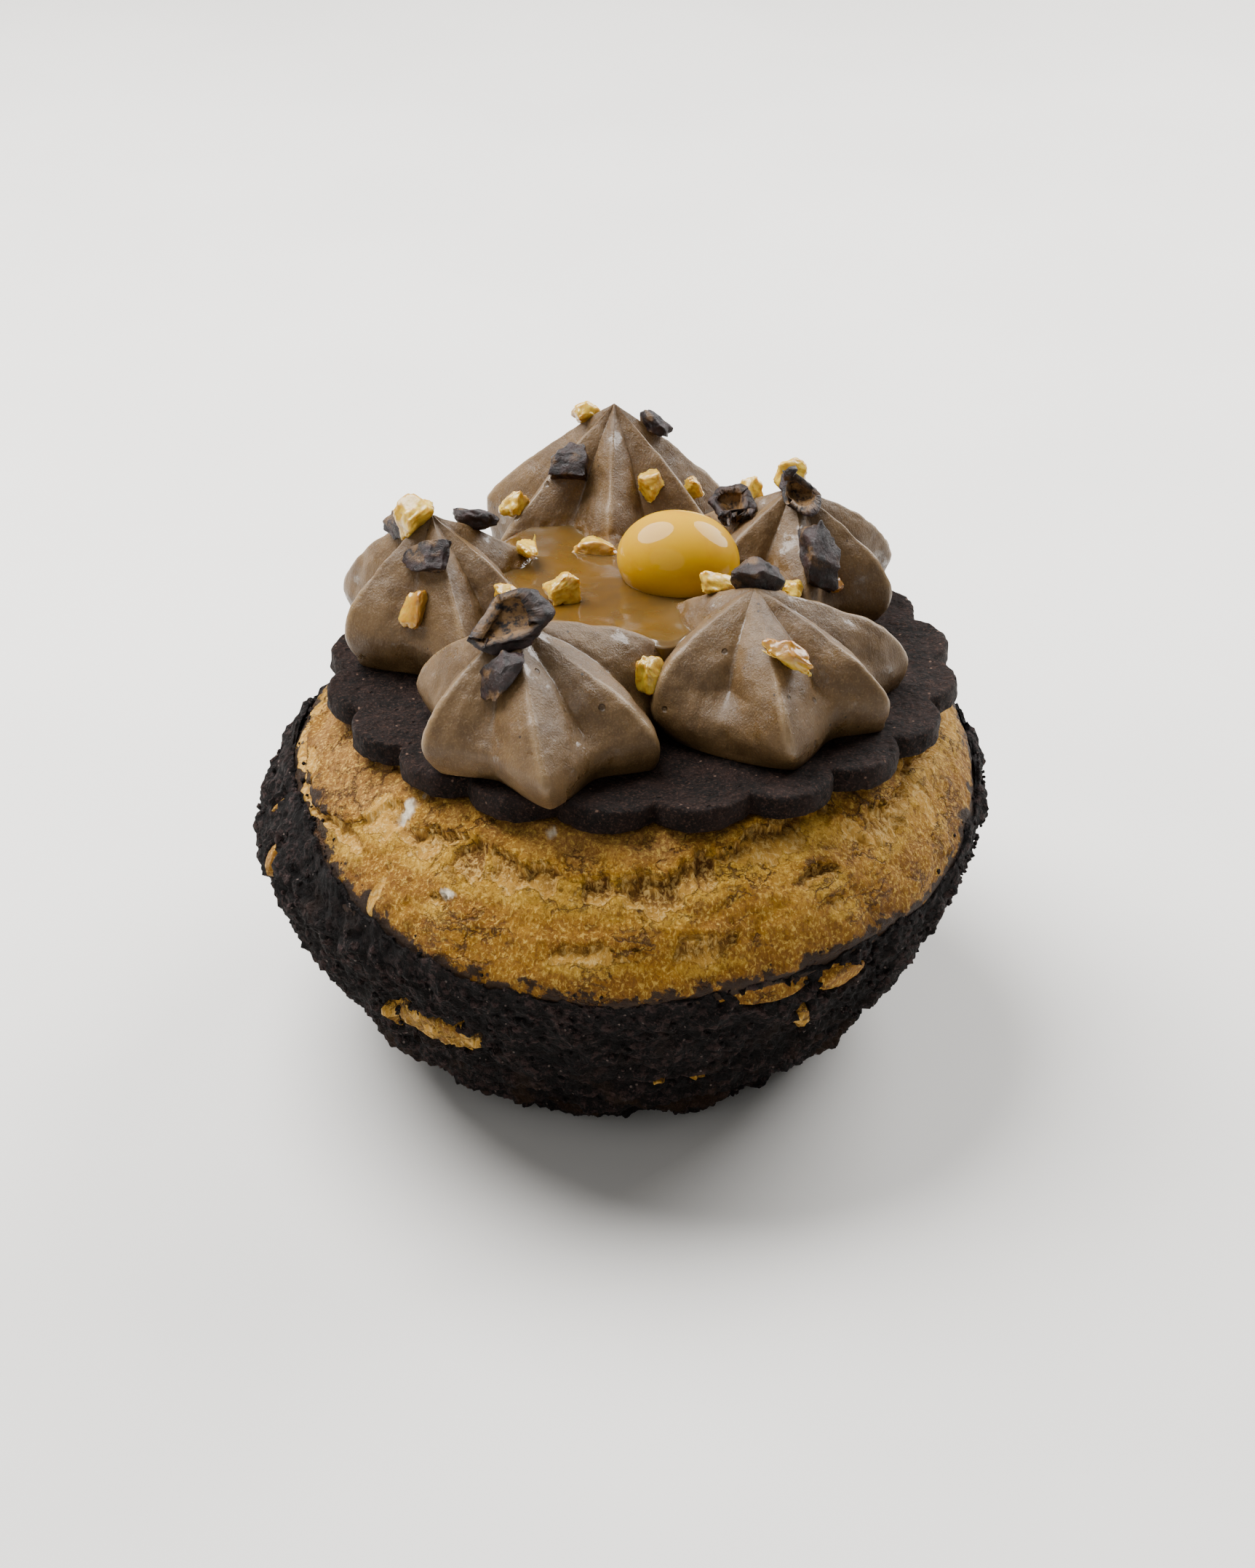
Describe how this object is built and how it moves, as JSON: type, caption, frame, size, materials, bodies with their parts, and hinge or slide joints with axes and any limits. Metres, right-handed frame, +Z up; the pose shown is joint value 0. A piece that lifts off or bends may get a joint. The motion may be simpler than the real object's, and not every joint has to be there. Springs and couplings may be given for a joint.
{
  "type": "craquelin choux bun with piped cream",
  "caption": "Choux bun in a dark cocoa crust, topped with a fluted cocoa biscuit, piped chocolate cream stars, a caramel pool, a glazed ball, cocoa nibs and chopped nuts",
  "frame": {"origin": "Middle of the small flat spot that the bun rests on.", "axes": "+Z points up through the biscuit. -Y is the front, the side with the two nearest cream stars. +X is to the right seen from the front."},
  "size_m": [0.0794, 0.0829, 0.0607],
  "materials": {
    "choux": "baked golden pastry, dry and matt",
    "crust": "near-black cocoa sugar crust, rough",
    "biscuit": "dark cocoa biscuit, matt with fine crumbs",
    "cream": "moist milk chocolate cream",
    "caramel": "clear glossy caramel",
    "ball": "mirror glaze, orange yellow"
  },
  "bodies": {
    "root": {"choux_bun": "choux", "craquelin_crust": "crust", "cocoa_biscuit": "biscuit", "cream_back": "cream", "cream_left": "cream", "cream_front_left": "cream", "cream_front_right": "cream", "cream_right": "cream", "caramel_pool": "caramel", "glazed_ball": "ball"}
  },
  "joints": []
}
